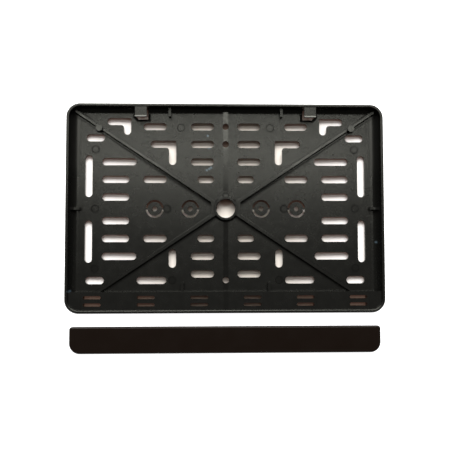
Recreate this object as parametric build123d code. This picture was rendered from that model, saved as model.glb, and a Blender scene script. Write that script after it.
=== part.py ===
from build123d import *
import os
from math import atan2, degrees

# Holder for a two-row number plate: a moulded tray that screws to the car, and the strip that
# snaps into the tray's lower ledge and traps the plate. The strip lies unclipped below the tray.
# Frame: origin on the hub axis at the tray's rear plane, +X along the plate, +Y up the plate,
# +Z towards the plate's face. Millimetres.

# Plate pocket
plate_width = 290.0
plate_height = 170.0
plate_thickness = 1.2
plate_side_room = 2.5
plate_lift_room = 5.1
hub_to_step = 78.6

# Tray body
rim_width = 3.0
tray_depth = 14.0
corner_radius = 13.0
rim_bevel = 0.9
rim_inner_bevel = 0.5
wall_foot_radius = 5.2
side_foot_width = 7.5
side_foot_height = 5.6
rear_space = 3.3
floor_thickness = 2.2
ledge_depth = 16.8
ledge_drop = 2.5
ledge_wall = 2.0
step_wall = 2.0
ledge_rib = 1.4
ledge_rib_depth = 4.7

# Plate seats: posts and fins that all end at one level under the plate
seat_height = 4.7
post_radius = 3.1
post_side_inset = 27.1
post_top_inset = 19.6
fin_width = 2.4
top_fin_x = 53.4
top_fin_reach = 8.5
side_fin_reach = 9.5
low_fin_x = 41.1
low_fin_reach = 8.4

# Hub, diagonal ribs and centre band
hub_radius = 12.7
hub_top_radius = 10.8
hub_hole_radius = 8.9
hub_height = 3.5
hub_bevel = 0.6
web_half_width = 13.9
web_half_height = 6.2
rib_root_x = 2.4
rib_height = 2.6
rib_top_width = 2.5
rib_foot_width = 4.8
band_width = 4.6
band_rise = 0.4
ramp_reach = 13.6
ramp_drop = 0.9
ramp_end_run = 0.5

# Screw slots, in rows above and below the hub
slot_width = 7.0
slot_chords = 7
first_row = 11.3
row_pitch = 17.0
row_margin = 10.0
outer_slot_inset = 29.3
outer_slot_length = 26.0
long_slot_length = 32.9
middle_slot_start = 56.6
middle_slot_length = 22.4
low_middle_length = 28.4
inner_slot_start = 11.2
inner_slot_length = 22.2
short_slot_length = 16.0
side_slot_inset = 16.7
side_slot_length = 40.0
corner_slot_inset = 14.1
corner_slot_length = 17.7
corner_row = 68.2
upright_x = 51.0
upright_length = 17.6
upright_y = 47.6
inner_angle_width = 24.4
inner_angle_height = 23.6
outer_angle_inset = 53.2
outer_angle_top_inset = 12.4
outer_angle_width = 22.8
outer_angle_height = 16.2
angle_corner_cut = 1.0
angle_inside_radius = 2.6
centre_hole_radius = 3.1
small_round_sides = 16

# Knock-out discs beside the hub
knockout_pitch = 34.0
knockout_radius = 8.6
knockout_groove = 1.9
knockout_bridge = 1.6
knockout_pilot_radius = 2.4
knockout_sides = 20

# Top clips and the floor windows that form them
clip_x = 80.5
clip_width = 11.5
clip_reach = 9.9
clip_thickness = 1.6
clip_lip_run = 1.5
clip_lip_rise = 0.4
window_room = 0.15
window_bevel = 1.8
window_slope = 55.0
window_corner = 2.5

# Snap slots in the ledge, in pairs
snap_pitch = 50.2
snap_count = 6
snap_slot_length = 16.8
snap_slot_height = 3.1
upper_snap_inset = 5.2
lower_snap_inset = 12.0
notch_width = 3.0
notch_depth = 1.1
snap_corner = 1.0
snap_pad_width = 20.5
snap_pad_drop = 0.2

# Retaining strip
strip_height = 25.1
strip_depth = 3.4
strip_wall = 1.8
strip_skirt = 1.6
strip_side_room = 0.2
strip_low_room = 0.4
strip_top_radius = 2.5
strip_edge_bevel = 0.9
strip_seat_room = 0.1
strip_apart = 13.25
hook_width = 14.0
hook_leg = 1.5
hook_barb = 0.9
hook_tip = 2.6
hook_room = 0.2

# Levels and edges worked out from the sizes above
cut_spare = 1.0
floor_top = rear_space + floor_thickness
seat_level = floor_top + seat_height
ledge_top = tray_depth - ledge_drop
inner_half = plate_width / 2 + plate_side_room
inner_radius = corner_radius - rim_width
step_y = -hub_to_step
inner_top = step_y + plate_height + plate_lift_room
inner_bottom = step_y - ledge_depth
inner_height = inner_top - inner_bottom
inner_middle = (inner_top + inner_bottom) / 2
upper_snap_y = step_y - upper_snap_inset
lower_snap_y = step_y - lower_snap_inset
snap_xs = [(i - (snap_count - 1) / 2) * snap_pitch for i in range(snap_count)]
side_slot_x = inner_half - side_slot_inset
outer_slot_end = inner_half - outer_slot_inset
SIDES = (-1, 1)


def rows_within(limit):
    """Row heights from the hub outwards that stay clear of a wall at the given distance."""
    rows = []
    row = first_row
    while row + slot_width / 2 + row_margin < limit:
        rows.append(row)
        row += row_pitch
    return rows


upper_rows = rows_within(inner_top)
lower_rows = rows_within(hub_to_step)


def inner_outline(grow=0.0):
    """The rim's inner outline, or one offset outwards from it."""
    return Pos(0, inner_middle) * RectangleRounded(
        2 * (inner_half + grow), inner_height + 2 * grow, inner_radius + grow
    )


def above(y):
    """A large rectangle that covers everything above the given height up the plate."""
    return Pos(0, y + plate_height) * Rectangle(2 * plate_width, 2 * plate_height)


def below(y):
    """A large rectangle that covers everything below the given height up the plate."""
    return Pos(0, y - plate_height) * Rectangle(2 * plate_width, 2 * plate_height)


def raised(sketch, low, high):
    """A prism on a sketch between two levels."""
    return extrude(Pos(0, 0, low) * sketch, high - low)


def tray_shell():
    """Rim, floor and raised ledge, open at the back under the floor and the ledge."""
    block = raised(inner_outline(rim_width), 0, tray_depth)
    block = chamfer(block.edges().group_by(Axis.Z)[-1], rim_bevel)
    pocket = raised(inner_outline() & above(step_y), floor_top, tray_depth + cut_spare)
    foot_edges = pocket.edges().group_by(Axis.Z)[0].sort_by(Axis.Y)[1:]
    pocket = fillet(foot_edges, wall_foot_radius)
    ledge_pocket = raised(inner_outline() & below(step_y), ledge_top, tray_depth + cut_spare)
    bevel = extrude(
        Pos(0, 0, tray_depth - rim_inner_bevel) * inner_outline(), rim_inner_bevel, taper=-45
    )
    rear = raised(inner_outline(), -cut_spare, rear_space)
    rear_ledge = raised(inner_outline() & below(step_y - step_wall), 0, ledge_top - ledge_wall)
    return block - [pocket, ledge_pocket, bevel, rear, rear_ledge]


def side_feet():
    """Broad hollow curves at the foot of the side walls, tangent to the floor."""
    reach = Vector(inner_half - side_foot_width, floor_top)
    root = Vector(inner_half, floor_top + side_foot_height)
    curve = TangentArc((reach.X, reach.Y), (root.X, root.Y), tangent=(1, 0))
    back = Polyline(
        (root.X, root.Y),
        (inner_half + rim_width / 2, root.Y),
        (inner_half + rim_width / 2, rear_space),
        (reach.X, rear_space),
        (reach.X, reach.Y),
    )
    section = Plane.XZ * make_face([curve, back])
    foot = extrude(section, -inner_top) + extrude(section, step_wall / 2 - step_y)
    return [foot, mirror(foot, about=Plane.YZ)]


def ledge_ribs():
    """Stiffening behind the ledge: a rib between the slot rows and gussets beside each slot pair."""
    low = ledge_top - ledge_wall - ledge_rib_depth
    spine = Pos(0, (upper_snap_y + lower_snap_y) / 2) * Rectangle(2 * inner_half + rim_width, ledge_rib)
    solids = [raised(spine, low, ledge_top - ledge_wall / 2)]
    gusset_top = step_y - step_wall / 2
    gusset_foot = inner_bottom - rim_width / 2
    gusset = Pos(0, (gusset_top + gusset_foot) / 2) * Rectangle(ledge_rib, gusset_top - gusset_foot)
    for x in snap_xs:
        for side in SIDES:
            place = Pos(x + side * (snap_slot_length + ledge_rib) / 2, 0)
            solids.append(raised(place * gusset, low, ledge_top - ledge_wall / 2))
    return solids


def ribs():
    """Four diagonal ribs of tapered section, from beside the hub towards the inner corners."""
    section = Polygon(
        (-rib_foot_width / 2, -floor_thickness / 2),
        (rib_foot_width / 2, -floor_thickness / 2),
        (rib_foot_width / 2, 0),
        (rib_top_width / 2, rib_height),
        (-rib_top_width / 2, rib_height),
        (-rib_foot_width / 2, 0),
        align=None,
    )
    run = Vector(inner_half - rib_root_x, inner_top)
    angle = degrees(atan2(run.Y, run.X))
    solids = []
    for side in SIDES:
        for up in SIDES:
            heading = angle if side > 0 else 180 - angle
            along = Vector(1, 0, 0).rotate(Axis.Z, up * heading)
            start = Plane(
                origin=(side * rib_root_x, 0, floor_top),
                x_dir=Vector(0, 0, 1).cross(along),
                z_dir=along,
            )
            solids.append(extrude(start * section, run.length))
    return solids


def fin(x, y, size_x, size_y):
    """An upright plate that ends at the seat level under the plate."""
    return raised(Pos(x, y) * Rectangle(size_x, size_y), rear_space, seat_level)


def fins():
    """Seat fins on the top wall, the side walls and the step, each rooted inside its wall."""
    solids = []
    for side in SIDES:
        top_length = top_fin_reach + rim_width / 2
        solids.append(
            fin(side * top_fin_x, inner_top + rim_width / 2 - top_length / 2, fin_width, top_length)
        )
        side_length = side_fin_reach + rim_width / 2
        side_centre = inner_half + rim_width / 2 - side_length / 2
        solids.append(fin(side * side_centre, 0, side_length, fin_width))
        low_length = low_fin_reach + step_wall / 2
        solids.append(
            fin(side * low_fin_x, step_y - step_wall / 2 + low_length / 2, fin_width, low_length)
        )
    return solids


def posts():
    """Round seat posts on the two upper ribs."""
    place = Pos(inner_half - post_side_inset, inner_top - post_top_inset)
    post = raised(place * RegularPolygon(post_radius, small_round_sides), rear_space, seat_level)
    return [post, mirror(post, about=Plane.YZ)]


def hub():
    """Collar round the centre hole, webs between the ribs, and the flat centre band with its ramp."""
    collar = raised(Circle(hub_radius), rear_space, floor_top)
    cone = Pos(0, 0, floor_top + hub_height / 2) * Cone(hub_radius, hub_top_radius, hub_height)
    web = raised(
        Rectangle(2 * web_half_width, 2 * web_half_height), rear_space, floor_top + rib_height
    )
    band = raised(
        Pos(0, (inner_top + step_y) / 2) * Rectangle(band_width, inner_top - step_y),
        rear_space,
        floor_top + band_rise,
    )
    ramp_start = (hub_hole_radius + hub_bevel + hub_top_radius) / 2
    ramp_profile = Plane.YZ * Polygon(
        (0, floor_top),
        (ramp_reach + ramp_end_run, floor_top),
        (ramp_reach, floor_top + hub_height - ramp_drop),
        (ramp_start, floor_top + hub_height),
        (0, floor_top + hub_height),
        align=None,
    )
    ramp = extrude(ramp_profile, band_width / 2, both=True)
    return [collar, cone, web, band, ramp]


def hub_hole():
    """Centre hole with a small bevel at the collar's mouth."""
    mouth = Pos(0, 0, floor_top + hub_height - hub_bevel / 2) * Cone(
        hub_hole_radius, hub_hole_radius + hub_bevel, hub_bevel
    )
    return raised(Circle(hub_hole_radius), -cut_spare, tray_depth) + mouth


def chorded_slot(length):
    """A slot whose ends are short chords of a half circle, which keeps the mesh light."""
    radius = slot_width / 2
    turns = [180 * n / slot_chords - 90 for n in range(slot_chords + 1)]
    end = [Vector(radius, 0).rotate(Axis.Z, turn) + Vector(length / 2 - radius, 0) for turn in turns]
    return Polygon(*end, *[point * -1 for point in end], align=None)


def screw_slot(length):
    """A slot with true round ends, for the main screw patterns."""
    return SlotOverall(length, slot_width)


def level_pair(shape, start, y, length):
    """A pair of slots along X, mirrored about the centre line."""
    return [Pos(side * (start + length / 2), y) * shape(length) for side in SIDES]


def upright_pair(shape, x, y, length):
    """A pair of slots along Y, mirrored about the centre line."""
    return [Pos(side * x, y) * Rot(0, 0, 90) * shape(length) for side in SIDES]


def angle_pair(corner_x, corner_y, width, height):
    """A pair of L-shaped slots: a leg outwards and a leg down from a nearly square corner."""
    half = slot_width / 2
    across = Pos(corner_x - half + width / 2, corner_y) * chorded_slot(width)
    down = Pos(corner_x, corner_y + half - height / 2) * Rot(0, 0, 90) * chorded_slot(height)
    corner = Pos(corner_x, corner_y) * Rectangle(slot_width, slot_width)
    corner = chamfer(corner.vertices().group_by(Axis.Y)[-1].sort_by(Axis.X)[0], angle_corner_cut)
    shape = across + down + corner
    inside = Vector(corner_x + half, corner_y - half)
    shape = fillet(shape.vertices().sort_by_distance(inside)[0], angle_inside_radius)
    return [shape, mirror(shape, about=Plane.YZ)]


def screw_slots():
    """The whole field of screw slots and centre holes."""
    shapes = []
    for sign, rows in ((1, upper_rows), (-1, lower_rows)):
        for row in rows[:2]:
            start = outer_slot_end - outer_slot_length
            shapes += level_pair(screw_slot, start, sign * row, outer_slot_length)
        long_start = outer_slot_end - long_slot_length
        shapes += level_pair(screw_slot, long_start, sign * rows[2], long_slot_length)
        shapes += level_pair(screw_slot, middle_slot_start, sign * rows[1], middle_slot_length)
        shapes += level_pair(chorded_slot, inner_slot_start, sign * rows[1], short_slot_length)
        shapes += level_pair(screw_slot, inner_slot_start, sign * rows[2], inner_slot_length)
        for row in rows[3:]:
            shapes += level_pair(chorded_slot, inner_slot_start, sign * row, inner_slot_length)
        side_y = sign * (first_row + side_slot_length / 2)
        shapes += upright_pair(screw_slot, side_slot_x, side_y, side_slot_length)
        corner_start = inner_half - corner_slot_inset - corner_slot_length
        shapes += level_pair(chorded_slot, corner_start, sign * corner_row, corner_slot_length)
    shapes += level_pair(chorded_slot, middle_slot_start, upper_rows[-1], middle_slot_length)
    shapes += level_pair(chorded_slot, middle_slot_start, -corner_row, low_middle_length)
    shapes += upright_pair(chorded_slot, upright_x, -upright_y, upright_length)
    shapes += angle_pair(upright_x, upper_rows[-2], inner_angle_width, inner_angle_height)
    shapes += angle_pair(
        inner_half - outer_angle_inset,
        inner_top - outer_angle_top_inset,
        outer_angle_width,
        outer_angle_height,
    )
    for y in (upper_rows[-1], upper_rows[-2], -corner_row):
        shapes.append(Pos(0, y) * RegularPolygon(centre_hole_radius, small_round_sides))
    return [raised(shape, 0, floor_top + cut_spare) for shape in shapes]


def knockouts():
    """Grooves that leave each disc hanging on two bridges, with a pilot hole at its centre."""
    ring = RegularPolygon(knockout_radius, knockout_sides)
    disc = RegularPolygon(knockout_radius - knockout_groove, knockout_sides)
    bridges = Rectangle(2 * knockout_radius + cut_spare, knockout_bridge)
    shape = ring - disc - bridges + RegularPolygon(knockout_pilot_radius, knockout_sides // 2)
    return [
        raised(Pos(side * n * knockout_pitch, 0) * shape, 0, floor_top + cut_spare)
        for side in SIDES
        for n in (1, 2)
    ]


def windows():
    """Floor windows under the clips, with a broad bevel round the mouth."""
    reach = clip_reach + window_room
    place = Pos(clip_x, inner_top - reach / 2)
    opening = place * Rectangle(clip_width + 2 * window_room, reach)
    outer_corner = opening.vertices().group_by(Axis.Y)[0].sort_by(Axis.X)[-1]
    opening = chamfer(outer_corner, window_corner)
    through = raised(opening, 0, seat_level)
    bevel = extrude(Pos(0, 0, floor_top - window_bevel) * opening, window_bevel, taper=-window_slope)
    inside = raised(inner_outline(), 0, seat_level)
    tool = (through + bevel) & inside
    return [tool, mirror(tool, about=Plane.YZ)]


def clips():
    """Clips that the plate's upper edge slides under, each with its end turned up to the rim's level."""
    end = inner_top - clip_reach
    root = inner_top + rim_width / 2
    underside = tray_depth - clip_thickness
    flat = tray_depth - clip_lip_rise
    profile = Plane.YZ * Polygon(
        (end, underside),
        (root, underside),
        (root, flat),
        (end + clip_lip_run, flat),
        (end, tray_depth),
        align=None,
    )
    lip = Pos(clip_x, 0, 0) * extrude(profile, clip_width / 2, both=True)
    return [lip, mirror(lip, about=Plane.YZ)]


def snap_slots():
    """Pairs of narrow slots on shallow pads of the ledge, the upper one notched in its lower edge."""
    slot = Rectangle(snap_slot_length, snap_slot_height)
    slot = chamfer(slot.vertices(), snap_corner)
    notch_top = -snap_slot_height / 2
    notch = Polygon(
        (-notch_width / 2, notch_top),
        (notch_width / 2, notch_top),
        (0, notch_top - notch_depth),
        align=None,
    )
    pair = Pos(0, upper_snap_y) * (slot + notch) + Pos(0, lower_snap_y) * slot
    pad = Pos(0, inner_bottom + ledge_depth / 2) * Rectangle(snap_pad_width, ledge_depth)
    tools = [raised(Pos(x, 0) * pair, rear_space, ledge_top + cut_spare) for x in snap_xs]
    pads = [raised(Pos(x, 0) * pad, ledge_top - snap_pad_drop, ledge_top + cut_spare) for x in snap_xs]
    return tools + pads


def base_frame():
    """The tray as one moulding."""
    bounds = raised(
        inner_outline(rim_width / 2) & above(step_y - step_wall / 2), rear_space, tray_depth
    )
    features = hub() + side_feet() + ribs() + fins() + posts()
    inside = (features[0] + features[1:]) & bounds
    tray = tray_shell() + inside + ledge_ribs()
    tray = tray - screw_slots() - knockouts() - snap_slots()
    tray = tray - windows() - hub_hole()
    return tray + clips()


def strip_outline(grow=0.0):
    """The strip's front outline in its fitted place: it follows the rim's lower corners."""
    low = inner_bottom + strip_low_room
    half = inner_half - strip_side_room + grow
    centre = low + strip_height / 2
    face = Pos(0, centre) * Rectangle(2 * half, strip_height + 2 * grow)
    corners = face.vertices().group_by(Axis.Y)
    face = fillet(corners[0], inner_radius - strip_side_room + grow)
    return fillet(face.vertices().group_by(Axis.Y)[-1], strip_top_radius + grow)


def hook(y, outward, seat):
    """One snap hook: a leg close to its slot's outer edge, with a barb under the ledge."""
    edge = y + outward * (snap_slot_height / 2 - hook_room)
    back = seat + strip_depth - strip_wall / 2
    catch = ledge_top - ledge_wall - hook_room
    profile = Plane.YZ * Polygon(
        (edge, back),
        (edge, catch),
        (edge + outward * hook_barb, catch),
        (edge, catch - hook_tip),
        (edge - outward * hook_leg, catch - hook_tip),
        (edge - outward * hook_leg, back),
        align=None,
    )
    return extrude(profile, hook_width / 2, both=True)


def retaining_strip():
    """Cover strip: a shallow skirted face with a row of hook pairs behind it, laid below the tray."""
    seat = max(ledge_top, seat_level + plate_thickness) + strip_seat_room
    front = seat + strip_depth
    face = raised(strip_outline(), seat, front)
    face = chamfer(face.edges().group_by(Axis.Z)[-1], strip_edge_bevel)
    hollow = raised(strip_outline(-strip_skirt), seat - cut_spare, front - strip_wall)
    pair = hook(upper_snap_y, 1, seat) + hook(lower_snap_y, -1, seat)
    strip = face - hollow + [Pos(x, 0, 0) * pair for x in snap_xs]
    top_edge = inner_bottom + strip_low_room + strip_height
    laid_edge = inner_bottom - rim_width - strip_apart
    tip_level = ledge_top - ledge_wall - hook_room - hook_tip
    return Pos(0, laid_edge - top_edge, -tip_level) * strip


os.makedirs("parts", exist_ok=True)
export_step(base_frame(), "parts/base_frame.step")
export_step(retaining_strip(), "parts/retaining_strip.step")
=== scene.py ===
import bpy
import numpy as np
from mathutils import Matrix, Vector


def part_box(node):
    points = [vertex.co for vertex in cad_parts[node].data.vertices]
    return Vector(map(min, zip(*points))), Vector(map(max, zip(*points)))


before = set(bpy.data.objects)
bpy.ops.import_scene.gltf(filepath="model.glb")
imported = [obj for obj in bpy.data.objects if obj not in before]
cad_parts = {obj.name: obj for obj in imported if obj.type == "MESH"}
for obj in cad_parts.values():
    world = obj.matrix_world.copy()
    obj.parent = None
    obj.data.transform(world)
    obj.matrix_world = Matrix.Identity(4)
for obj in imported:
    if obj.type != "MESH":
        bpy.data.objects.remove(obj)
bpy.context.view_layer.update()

# Tray: one black injection moulding, matte from the fine grain of its spark-eroded mould. The centre band,
# the upper ribs' tops and the seat posts came off polished steel, so they are smoother than the floor round
# them, and a few pale specks lie on it, most of them dust.


def plastic(name, colour, gloss, tint):
    """A black plastic, with the settings that are the same all over it."""
    material = bpy.data.materials.new(name)
    material.use_nodes = True
    shader = material.node_tree.nodes["Principled BSDF"]
    shader.inputs["Base Color"].default_value = (*colour, 1.0)
    shader.inputs["Specular IOR Level"].default_value = gloss
    shader.inputs["Specular Tint"].default_value = (*tint, 1.0)
    return material


def add_node(material, kind, inputs, **settings):
    """A shader node whose inputs are plain values or other nodes' outputs."""
    made = material.node_tree.nodes.new(kind)
    for name, value in settings.items():
        setattr(made, name, value)
    for name, value in inputs.items():
        if isinstance(value, bpy.types.NodeSocket):
            material.node_tree.links.new(value, made.inputs[name])
        else:
            made.inputs[name].default_value = value
    return made


def to_shader(material, socket, output):
    """Links a node's output to one of the shader's sockets."""
    shader = material.node_tree.nodes["Principled BSDF"]
    material.node_tree.links.new(output, shader.inputs[socket])


def maths(material, operation, *numbers):
    """The result of one operation on numbers, each a plain value or another node's output."""
    made = add_node(material, "ShaderNodeMath", dict(enumerate(numbers)), operation=operation)
    return made.outputs["Value"]


def product(material, *numbers):
    """The product of several numbers."""
    result = numbers[0]
    for number in numbers[1:]:
        result = maths(material, "MULTIPLY", result, number)
    return result


def vector_maths(material, operation, *vectors):
    """The result of one operation on vectors: a number for a distance or a dot product, else a vector."""
    made = add_node(material, "ShaderNodeVectorMath", dict(enumerate(vectors)), operation=operation)
    gives_number = operation in ("DISTANCE", "DOT_PRODUCT")
    return made.outputs["Value" if gives_number else "Vector"]


def object_place(material):
    """The place on the piece in its own coordinates, in metres."""
    return add_node(material, "ShaderNodeTexCoord", {}).outputs["Object"]


def split(material, vector):
    """A vector's three parts, as outputs named X, Y and Z."""
    return add_node(material, "ShaderNodeSeparateXYZ", {"Vector": vector}).outputs


def joined(material, x, y):
    """A level vector of two parts."""
    return add_node(material, "ShaderNodeCombineXYZ", {"X": x, "Y": y}).outputs["Vector"]


def graded(material, value, span, ends, curve="SMOOTHSTEP"):
    """A change from one number to another while a value crosses a span."""
    inputs = {
        "Value": value,
        "From Min": span[0],
        "From Max": span[1],
        "To Min": ends[0],
        "To Max": ends[1],
    }
    made = add_node(material, "ShaderNodeMapRange", inputs, interpolation_type=curve)
    return made.outputs["Result"]


def rising(material, value, span):
    """0 below a span and 1 above it."""
    return graded(material, value, span, (0.0, 1.0))


def falling(material, value, span):
    """1 below a span and 0 above it."""
    return graded(material, value, span, (1.0, 0.0))


def spots(material, place, centres, radius, blur):
    """1 inside any of several round spots and 0 outside them all."""
    covered = 0.0
    for centre in centres:
        away = vector_maths(material, "DISTANCE", place, (*centre, 0.0))
        inside = falling(material, away, (radius - blur, radius + blur))
        covered = maths(material, "MAXIMUM", covered, inside)
    return covered


def noise(material, place, scale, detail):
    """Cloudy variation between 0 and 1, with about this many clouds in a metre."""
    made = add_node(material, "ShaderNodeTexNoise", {"Vector": place, "Scale": scale, "Detail": detail})
    return made.outputs["Fac"]


def mixed(material, share, first, second):
    """A colour between two others, the first a plain colour or another node's output."""
    if isinstance(first, tuple):
        first = (*first, 1.0)
    inputs = {"Factor": share, "A": first, "B": (*second, 1.0)}
    return add_node(material, "ShaderNodeMix", inputs, data_type="RGBA").outputs["Result"]


def rounded_edges(material, radius):
    """The surface's normal with its edges rounded."""
    return add_node(material, "ShaderNodeBevel", {"Radius": radius}, samples=16).outputs["Normal"]


def relief(material, normal, height, depth):
    """The normal with a shallow relief laid over it, as deep as this where the height is 1."""
    inputs = {"Height": height, "Distance": depth, "Strength": 1.0, "Normal": normal}
    return add_node(material, "ShaderNodeBump", inputs).outputs["Normal"]


tray_colour = (0.0054, 0.0053, 0.0048)
tray_plastic = plastic("tray_plastic", tray_colour, gloss=0.39, tint=(1.0, 1.0, 0.88))
tray_place = object_place(tray_plastic)
tray_split = split(tray_plastic, tray_place)
across = tray_split["X"]
up = tray_split["Y"]
level = tray_split["Z"]
beside = maths(tray_plastic, "ABSOLUTE", across)
flat_place = joined(tray_plastic, across, up)
folded_place = joined(tray_plastic, beside, up)
shape_normal = add_node(tray_plastic, "ShaderNodeNewGeometry", {}).outputs["Normal"]
front = rising(tray_plastic, split(tray_plastic, shape_normal)["Z"], span=(0.1, 0.4))
towards_top = rising(tray_plastic, up, span=(0.025, 0.045))

# The tray's centre band, and the round marks of its ejector pins. The first mark is a seat post's top.
band_half_width = 0.0023
band_edge = 0.0001
ejector_radius = 0.0031
ejector_edge = 0.0003
ring_width = 0.0007
ring_edge = 0.0002
ejector_marks = [
    (0.1204, 0.0769),
    (0.0430, 0.0782),
    (0.1245, 0.0570),
    (0.1246, 0.0),
    (0.0561, 0.0),
    (0.1245, -0.0570),
    (0.0510, -0.0682),
]
band = falling(tray_plastic, beside, (band_half_width - band_edge, band_half_width + band_edge))
marks = spots(tray_plastic, folded_place, ejector_marks, ejector_radius, ejector_edge)
ringed_marks = spots(tray_plastic, folded_place, ejector_marks, ejector_radius + ring_width, ring_edge)
rings = maths(tray_plastic, "SUBTRACT", ringed_marks, marks)

# How far a place is from the nearest diagonal rib's centre line. The four ribs mirror one another.
rib_root = (0.0024, 0.0, 0.0)
rib_across = (-0.5477, 0.8367, 0.0)
quarter_place = vector_maths(tray_plastic, "ABSOLUTE", tray_place)
from_root = vector_maths(tray_plastic, "SUBTRACT", quarter_place, rib_root)
from_rib = vector_maths(tray_plastic, "DOT_PRODUCT", from_root, rib_across)
above_rib = product(tray_plastic, from_rib, maths(tray_plastic, "SIGN", up))

# The polished tops of the upper ribs and of the seat posts, picked out by their levels.
rib_tops = product(
    tray_plastic,
    falling(tray_plastic, maths(tray_plastic, "ABSOLUTE", from_rib), span=(0.0012, 0.0015)),
    rising(tray_plastic, level, span=(0.0076, 0.0079)),
    falling(tray_plastic, level, span=(0.0083, 0.0086)),
    towards_top,
)
post_level = rising(tray_plastic, level, span=(0.0097, 0.0100))
polished_tops = maths(tray_plastic, "MULTIPLY_ADD", post_level, marks, rib_tops)

# Gloss: faintly cloudy all over, smoother on the polished places and the stub of the moulding gate at
# the hub's foot, and duller round that stub and on the upper feet of the side walls.
gate_place = (0.0, 0.0130)
gate_radius = 0.0034
gate_edge = 0.0005
stub_row = [(-0.0010, 0.0124), (0.0, 0.0124), (0.0010, 0.0124)]
stub_radius = 0.0007
stub_edge = 0.0003
gate_dulling = 0.6
stub_polish = -0.20
top_polish = -0.07
gate_mark = spots(tray_plastic, flat_place, [gate_place], gate_radius, gate_edge)
gate_stub = spots(tray_plastic, flat_place, stub_row, stub_radius, stub_edge)
upward_polish = graded(tray_plastic, up, span=(0.042, 0.062), ends=(-0.05, -0.10))
band_polish = product(tray_plastic, front, upward_polish)
outward_dulling = graded(tray_plastic, beside, span=(0.1375, 0.1415), ends=(0.0, 0.16))
foot_dulling = product(tray_plastic, front, outward_dulling)
cloud_span = (0.3, 0.7)
tray_cloud = noise(tray_plastic, tray_place, scale=120.0, detail=4.0)
roughness = graded(tray_plastic, tray_cloud, cloud_span, ends=(0.24, 0.28))
for place, change in (
    (band, band_polish),
    (gate_mark, gate_dulling),
    (gate_stub, stub_polish),
    (towards_top, foot_dulling),
    (polished_tops, top_polish),
):
    roughness = maths(tray_plastic, "MULTIPLY_ADD", place, change, roughness)
to_shader(tray_plastic, "Roughness", roughness)

# Seven pale specks: five of dust left of the centre band, and two near the feet of the side walls.
pale_speck_colour = (0.07, 0.10, 0.12)
pale_speck_radius = 0.0009
pale_speck_edge = 0.0008
pale_specks = [
    (-0.0173, 0.0705),
    (-0.0160, 0.0586),
    (-0.0158, 0.0385),
    (-0.0140, 0.0396),
    (-0.0182, 0.0372),
    (-0.1467, -0.0777),
    (0.1444, -0.0322),
]
pale_speck_mask = product(tray_plastic, front, spots(tray_plastic, flat_place, pale_specks, pale_speck_radius, pale_speck_edge))
to_shader(tray_plastic, "Base Color", mixed(tray_plastic, pale_speck_mask, tray_colour, pale_speck_colour))

# The band's face, the ejector-pin marks and most of the polished tops lean a little towards the bottom
# edge, and so does the floor along the lower feet of the ribs, where it sank as it cooled. The feet of
# the side walls lean inwards.
ring_lean = 0.22
rib_foot = 0.0024
rib_foot_edge = 0.0002
sink_reach = 0.0060
sink_root = 0.36
low_band_lean = graded(tray_plastic, up, span=(-0.01, 0.02), ends=(0.038, 0.012))
high_band_lean = graded(tray_plastic, up, span=(0.045, 0.095), ends=(0.0, 0.034))
band_lean = maths(tray_plastic, "ADD", low_band_lean, high_band_lean)
mark_lean = graded(tray_plastic, up, span=(-0.055, -0.005), ends=(0.035, 0.008))
top_lean = graded(tray_plastic, up, span=(0.03, 0.09), ends=(-0.012, 0.040))
sink = graded(tray_plastic, above_rib, (-sink_reach, -rib_foot), ends=(0.0, sink_root), curve="LINEAR")
sink_lean = product(tray_plastic, sink, sink)
below_rib = falling(tray_plastic, above_rib, (-rib_foot, -rib_foot + rib_foot_edge))
on_floor = falling(tray_plastic, level, span=(0.0070, 0.0075))
lean_down = product(tray_plastic, band, band_lean)
for place, change in ((marks, mark_lean), (rings, ring_lean), (below_rib, sink_lean)):
    lean_down = maths(tray_plastic, "MULTIPLY_ADD", place, change, lean_down)
lean_down = product(tray_plastic, front, lean_down, on_floor)
lean_down = maths(tray_plastic, "MULTIPLY_ADD", polished_tops, top_lean, lean_down)
side_lean = graded(tray_plastic, beside, span=(0.1405, 0.1458), ends=(0.0, -0.85))
below_rim = falling(tray_plastic, level, span=(0.0105, 0.0115))
lean_inwards = product(tray_plastic, front, side_lean, below_rim, maths(tray_plastic, "SIGN", across))
lean = joined(tray_plastic, lean_inwards, product(tray_plastic, lean_down, -1.0))

# Only the rim's edges are rounded, and the grain is shallower up the walls and on the rim than lower down.
rim_rounding = graded(tray_plastic, level, span=(0.0122, 0.0128), ends=(0.0, 0.0008))
grain_depth = graded(tray_plastic, level, span=(0.0090, 0.0115), ends=(0.00002, 0.000004))
grain_scale = 1500.0
grain_detail = 2.0
leant = vector_maths(tray_plastic, "ADD", rounded_edges(tray_plastic, rim_rounding), lean)
tray_normal = vector_maths(tray_plastic, "NORMALIZE", leant)
tray_grain = noise(tray_plastic, tray_place, grain_scale, grain_detail)
to_shader(tray_plastic, "Normal", relief(tray_plastic, tray_normal, tray_grain, grain_depth))

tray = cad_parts["base_frame"]
tray.data.materials.clear()
tray.data.materials.append(tray_plastic)

# Retaining strip: a second black moulding with a smoother face, taken off and laid below the tray.
# Its face is satin and faintly uneven, and its edges are well rounded.
strip_plastic = plastic("strip_plastic", (0.0062, 0.0037, 0.0025), gloss=0.19, tint=(1.0, 0.93, 0.88))
strip_rounding = 0.001
strip_grain_depth = 0.00001
strip_place = object_place(strip_plastic)
strip_cloud = noise(strip_plastic, strip_place, scale=60.0, detail=3.0)
to_shader(strip_plastic, "Roughness", graded(strip_plastic, strip_cloud, cloud_span, ends=(0.28, 0.33)))
strip_normal = rounded_edges(strip_plastic, strip_rounding)
strip_grain = noise(strip_plastic, strip_place, grain_scale, grain_detail)
to_shader(strip_plastic, "Normal", relief(strip_plastic, strip_normal, strip_grain, strip_grain_depth))

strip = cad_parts["retaining_strip"]
strip.data.materials.clear()
strip.data.materials.append(strip_plastic)

# Stage: a bright white sweep round the tray, and a warm white card inside its rear ring, bowed down in
# the middle, which is what shows through the slots.


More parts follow.
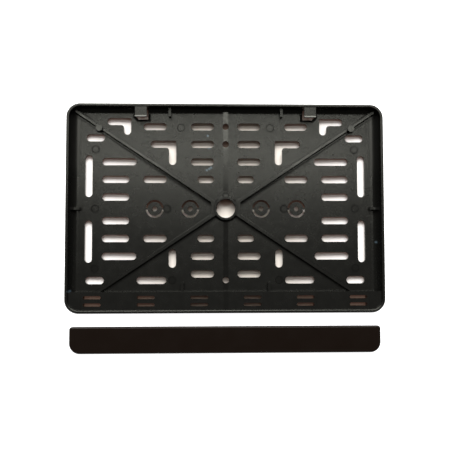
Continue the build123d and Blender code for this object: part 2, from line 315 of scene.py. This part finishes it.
def stage_piece(name, points, faces):
    """A stage piece from an array of points and an array of faces with four corners each."""
    mesh = bpy.data.meshes.new(name)
    mesh.from_pydata(points.tolist(), [], faces.tolist())
    made = bpy.data.objects.new(name, mesh)
    bpy.context.collection.objects.link(made)
    return made


def corners(low, high, height):
    """A level rectangle's four corners, going round from its lowest."""
    x = np.array([low[0], high[0], high[0], low[0]])
    y = np.array([low[1], low[1], high[1], high[1]])
    return np.column_stack((x, y, np.full(4, height)))


def floor_round(name, half_width, low, high, height):
    """A level square floor with an opening: four faces between an outer and an inner rectangle."""
    outer = corners((-half_width, -half_width), (half_width, half_width), height)
    inner = corners(low, high, height)
    corner = np.arange(4)
    following = (corner + 1) % 4
    faces = np.column_stack((corner, following, 4 + following, 4 + corner))
    return stage_piece(name, np.vstack((outer, inner)), faces)


def sheet_between(name, low, high, height, rise):
    """A rectangle whose ends curl up: its height grows by the rise times the square of the way to an end."""
    columns = 25
    along = np.linspace(-1.0, 1.0, columns)
    x = low[0] + (high[0] - low[0]) / 2 * (1 + along)
    z = height + rise * along**2
    near = np.column_stack((x, np.full(columns, low[1]), z))
    far = np.column_stack((x, np.full(columns, high[1]), z))
    first = 2 * np.arange(columns - 1)
    faces = np.column_stack((first, first + 2, first + 3, first + 1))
    return stage_piece(name, np.stack((near, far), axis=1).reshape(-1, 3), faces)


def paper(name, colour, glow, glow_strength):
    """A matte paper with a glow of its own, so that the shade on it doesn't go black."""
    material = bpy.data.materials.new(name)
    material.use_nodes = True
    shader = material.node_tree.nodes["Principled BSDF"]
    shader.inputs["Base Color"].default_value = (*colour, 1.0)
    shader.inputs["Roughness"].default_value = 0.9
    shader.inputs["Specular IOR Level"].default_value = 0.1
    shader.inputs["Emission Color"].default_value = (*glow, 1.0)
    shader.inputs["Emission Strength"].default_value = glow_strength
    return material


tray_low, tray_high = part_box("base_frame")
card_inset = (0.012, 0.0015)
card_low = (tray_low[0] + card_inset[0], tray_low[1] + card_inset[1])
card_high = (tray_high[0] - card_inset[0], tray_high[1] - card_inset[1])
sweep = floor_round("sweep", half_width=1.5, low=card_low, high=card_high, height=-0.0001)
sweep_paper = paper("sweep_paper", colour=(0.9, 0.9, 0.9), glow=(1.0, 1.0, 1.0), glow_strength=1.0)
sweep.data.materials.append(sweep_paper)

# Painted shade on the card: it is darker and warmer in the middle and paler towards its ends, and darker
# still below the ledge, the centre holes, the hub and the upper halves of the knock-out discs' grooves,
# where the tray's shade falls deepest.
card_warm_fill_glow = (0.014, 0.05)
card_shaded_middle = (0.80, 0.74, 0.66)
card_ends = (0.96, 0.94, 0.91)
card_shade_grading = (0.03, 0.12)
ledge_shade = (0.32, 0.27, 0.22)
ledge_from = (-0.080, -0.077)
hole_shade = (0.34, 0.26, 0.21)
hole_places = [(0.0, 0.0793), (0.0, 0.0623), (0.0, 0.0110)]
hole_reach = 0.0075
hole_edge = 0.002
groove_shade = (0.10, 0.07, 0.055)
groove_arc = ((-0.0068, 0.0048), (0.0, 0.0088), (0.0068, 0.0048))
groove_places = [(disc + aside, above) for disc in (0.034, 0.068) for aside, above in groove_arc]
groove_reach = 0.0045
groove_edge = 0.001
card = sheet_between("card", card_low, card_high, height=-0.0010, rise=0.0029)
card_paper = paper("card_paper", card_shaded_middle, glow=(1.0, 0.5, 0.35), glow_strength=card_warm_fill_glow[0])
card_split = split(card_paper, object_place(card_paper))
card_up = card_split["Y"]
card_beside = maths(card_paper, "ABSOLUTE", card_split["X"])
card_folded = joined(card_paper, card_beside, card_up)
# Painted warm light in the shade: the card's faint warm glow is weakest in the middle.
to_shader(card_paper, "Emission Strength", graded(card_paper, card_beside, card_shade_grading, card_warm_fill_glow))
card_shaded_colour = mixed(card_paper, rising(card_paper, card_beside, card_shade_grading), card_shaded_middle, card_ends)
# Painted shade below the ledge, the centre holes, the hub and the upper halves of the grooves.
for share, shade in (
    (falling(card_paper, card_up, ledge_from), ledge_shade),
    (spots(card_paper, card_folded, hole_places, hole_reach, hole_edge), hole_shade),
    (spots(card_paper, card_folded, groove_places, groove_reach, groove_edge), groove_shade),
):
    card_shaded_colour = mixed(card_paper, share, card_shaded_colour, shade)
to_shader(card_paper, "Base Color", card_shaded_colour)
card.data.materials.append(card_paper)

# Studio light: a narrow bright light almost overhead, which grades the floor from top to bottom, and a
# broad soft one further beyond the top edge, which throws the slots' shadows on the card.


def soft_light(name, size, energy, location, tilt):
    """A rectangular soft light, tilted about the x axis to face the tray."""
    light = bpy.data.lights.new(name, "AREA")
    light.shape = "RECTANGLE"
    light.size = size[0]
    light.size_y = size[1]
    light.energy = energy
    lamp = bpy.data.objects.new(name, light)
    lamp.location = location
    lamp.rotation_euler = (tilt, 0.0, 0.0)
    bpy.context.collection.objects.link(lamp)


soft_light("key", size=(2.2, 0.1362), energy=10.0, location=(0.0, 0.5406, 2.5432), tilt=-0.2094)
soft_light("fill", size=(2.8, 1.6396), energy=155.0, location=(-0.05, 1.8546, 1.8223), tilt=-0.7941)
world = bpy.data.worlds.new("room")
world.use_nodes = True
room_light = world.node_tree.nodes["Background"].inputs
room_light["Color"].default_value = (1.0, 0.97, 0.92, 1.0)
room_light["Strength"].default_value = 0.06
bpy.context.scene.world = world

# Camera: almost square above the tray, a little left of and below its hub, as the photograph looks,
# with colours shown as they are lit.
camera_data = bpy.data.cameras.new("camera")
camera_data.sensor_width = 36.0
camera_data.lens = 36.995
camera_data.clip_start = 0.01
camera = bpy.data.objects.new("camera", camera_data)
camera.location = (-0.01008, -0.03382, 0.450)
camera.rotation_euler = (0.0389, -0.0231, -0.0014)
bpy.context.collection.objects.link(camera)
bpy.context.scene.camera = camera
bpy.context.scene.view_settings.view_transform = "Standard"
